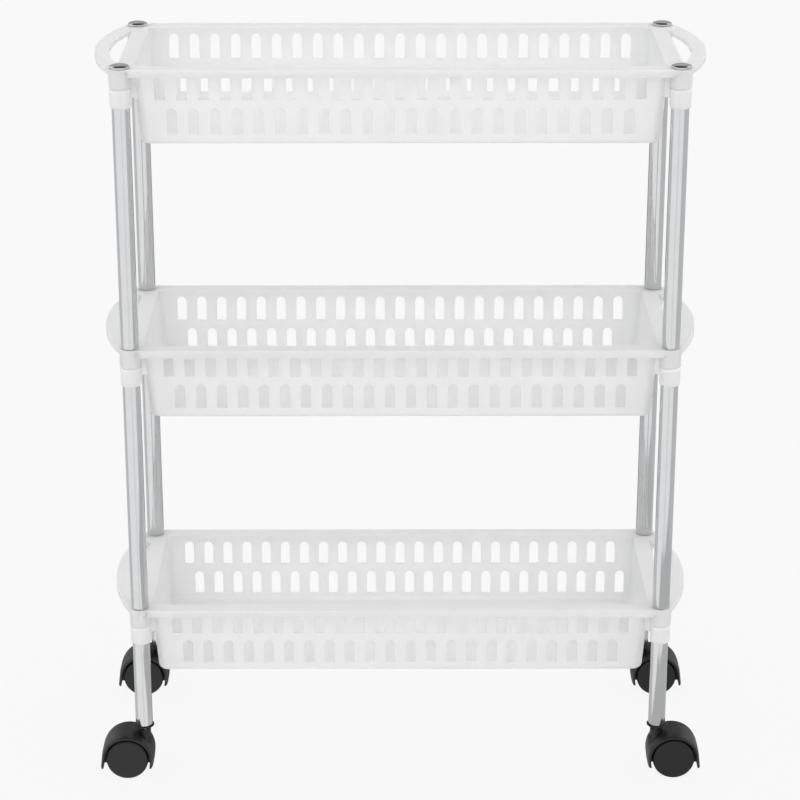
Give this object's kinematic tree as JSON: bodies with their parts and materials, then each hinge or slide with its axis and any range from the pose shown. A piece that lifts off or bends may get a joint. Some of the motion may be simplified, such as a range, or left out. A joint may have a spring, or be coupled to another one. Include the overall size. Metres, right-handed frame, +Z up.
{
  "type": "rolling utility cart",
  "caption": "Slim rolling cart: stacked frosted slotted baskets with ear handles on chrome tube posts, standing on hooded swivel casters.",
  "frame": {"origin": "on the floor, under the middle of the cart", "axes": "+Z up, +X along the cart, +Y towards its back"},
  "size_m": [0.5684, 0.209, 0.6853],
  "materials": {
    "frosted_plastic": "frosted translucent polypropylene, injection moulded",
    "collar_plastic": "milky translucent polypropylene, smoother than the baskets",
    "chrome_tube": "chrome plated steel tube",
    "chrome_cap": "bright chrome plated dome",
    "black_plastic": "black nylon, satin moulded",
    "wheel_plastic": "black nylon wheel, fine matt",
    "zinc_steel": "zinc plated steel"
  },
  "bodies": {
    "cart_frame": {"basket_lower": "frosted_plastic", "basket_middle": "frosted_plastic", "basket_upper": "frosted_plastic", "leg_tube_front_left": "chrome_tube", "collar_lower_front_left": "collar_plastic", "post_tube_middle_front_left": "chrome_tube", "collar_middle_front_left": "collar_plastic", "post_tube_upper_front_left": "chrome_tube", "collar_upper_front_left": "collar_plastic", "post_cap_front_left": "chrome_cap", "caster_plug_front_left": "black_plastic", "caster_stem_front_left": "zinc_steel", "grip_ring_front_left": "zinc_steel", "leg_tube_front_right": "chrome_tube", "collar_lower_front_right": "collar_plastic", "post_tube_middle_front_right": "chrome_tube", "collar_middle_front_right": "collar_plastic", "post_tube_upper_front_right": "chrome_tube", "collar_upper_front_right": "collar_plastic", "post_cap_front_right": "chrome_cap", "caster_plug_front_right": "black_plastic", "caster_stem_front_right": "zinc_steel", "grip_ring_front_right": "zinc_steel", "leg_tube_back_left": "chrome_tube", "collar_lower_back_left": "collar_plastic", "post_tube_middle_back_left": "chrome_tube", "collar_middle_back_left": "collar_plastic", "post_tube_upper_back_left": "chrome_tube", "collar_upper_back_left": "collar_plastic", "post_cap_back_left": "chrome_cap", "caster_plug_back_left": "black_plastic", "caster_stem_back_left": "zinc_steel", "grip_ring_back_left": "zinc_steel", "leg_tube_back_right": "chrome_tube", "collar_lower_back_right": "collar_plastic", "post_tube_middle_back_right": "chrome_tube", "collar_middle_back_right": "collar_plastic", "post_tube_upper_back_right": "chrome_tube", "collar_upper_back_right": "collar_plastic", "post_cap_back_right": "chrome_cap", "caster_plug_back_right": "black_plastic", "caster_stem_back_right": "zinc_steel", "grip_ring_back_right": "zinc_steel"},
    "caster_front_left": {"caster_hood_front_left": "black_plastic", "axle_front_left": "zinc_steel"},
    "wheel_front_left_front": {"wheel_front_left_front": "wheel_plastic"},
    "wheel_front_left_back": {"wheel_front_left_back": "wheel_plastic"},
    "caster_front_right": {"caster_hood_front_right": "black_plastic", "axle_front_right": "zinc_steel"},
    "wheel_front_right_front": {"wheel_front_right_front": "wheel_plastic"},
    "wheel_front_right_back": {"wheel_front_right_back": "wheel_plastic"},
    "caster_back_left": {"caster_hood_back_left": "black_plastic", "axle_back_left": "zinc_steel"},
    "wheel_back_left_front": {"wheel_back_left_front": "wheel_plastic"},
    "wheel_back_left_back": {"wheel_back_left_back": "wheel_plastic"},
    "caster_back_right": {"caster_hood_back_right": "black_plastic", "axle_back_right": "zinc_steel"},
    "wheel_back_right_front": {"wheel_back_right_front": "wheel_plastic"},
    "wheel_back_right_back": {"wheel_back_right_back": "wheel_plastic"}
  },
  "joints": [
    {"name": "swivel_front_left", "type": "hinge", "parent": "cart_frame", "child": "caster_front_left", "pos_m": [-0.2425, -0.0865, 0.046], "axis": [0, 0, 1], "continuous": true},
    {"name": "roll_front_left_front", "type": "hinge", "parent": "caster_front_left", "child": "wheel_front_left_front", "pos_m": [-0.2583, -0.0865, 0.0197], "axis": [0, 1, 0], "continuous": true},
    {"name": "roll_front_left_back", "type": "hinge", "parent": "caster_front_left", "child": "wheel_front_left_back", "pos_m": [-0.2583, -0.0865, 0.0197], "axis": [0, 1, 0], "continuous": true},
    {"name": "swivel_front_right", "type": "hinge", "parent": "cart_frame", "child": "caster_front_right", "pos_m": [0.2425, -0.0865, 0.046], "axis": [0, 0, 1], "continuous": true},
    {"name": "roll_front_right_front", "type": "hinge", "parent": "caster_front_right", "child": "wheel_front_right_front", "pos_m": [0.2583, -0.0865, 0.0197], "axis": [0, 1, 0], "continuous": true},
    {"name": "roll_front_right_back", "type": "hinge", "parent": "caster_front_right", "child": "wheel_front_right_back", "pos_m": [0.2583, -0.0865, 0.0197], "axis": [0, 1, 0], "continuous": true},
    {"name": "swivel_back_left", "type": "hinge", "parent": "cart_frame", "child": "caster_back_left", "pos_m": [-0.2425, 0.0865, 0.046], "axis": [0, 0, 1], "continuous": true},
    {"name": "roll_back_left_front", "type": "hinge", "parent": "caster_back_left", "child": "wheel_back_left_front", "pos_m": [-0.2583, 0.0865, 0.0197], "axis": [0, 1, 0], "continuous": true},
    {"name": "roll_back_left_back", "type": "hinge", "parent": "caster_back_left", "child": "wheel_back_left_back", "pos_m": [-0.2583, 0.0865, 0.0197], "axis": [0, 1, 0], "continuous": true},
    {"name": "swivel_back_right", "type": "hinge", "parent": "cart_frame", "child": "caster_back_right", "pos_m": [0.2425, 0.0865, 0.046], "axis": [0, 0, 1], "continuous": true},
    {"name": "roll_back_right_front", "type": "hinge", "parent": "caster_back_right", "child": "wheel_back_right_front", "pos_m": [0.2583, 0.0865, 0.0197], "axis": [0, 1, 0], "continuous": true},
    {"name": "roll_back_right_back", "type": "hinge", "parent": "caster_back_right", "child": "wheel_back_right_back", "pos_m": [0.2583, 0.0865, 0.0197], "axis": [0, 1, 0], "continuous": true}
  ]
}
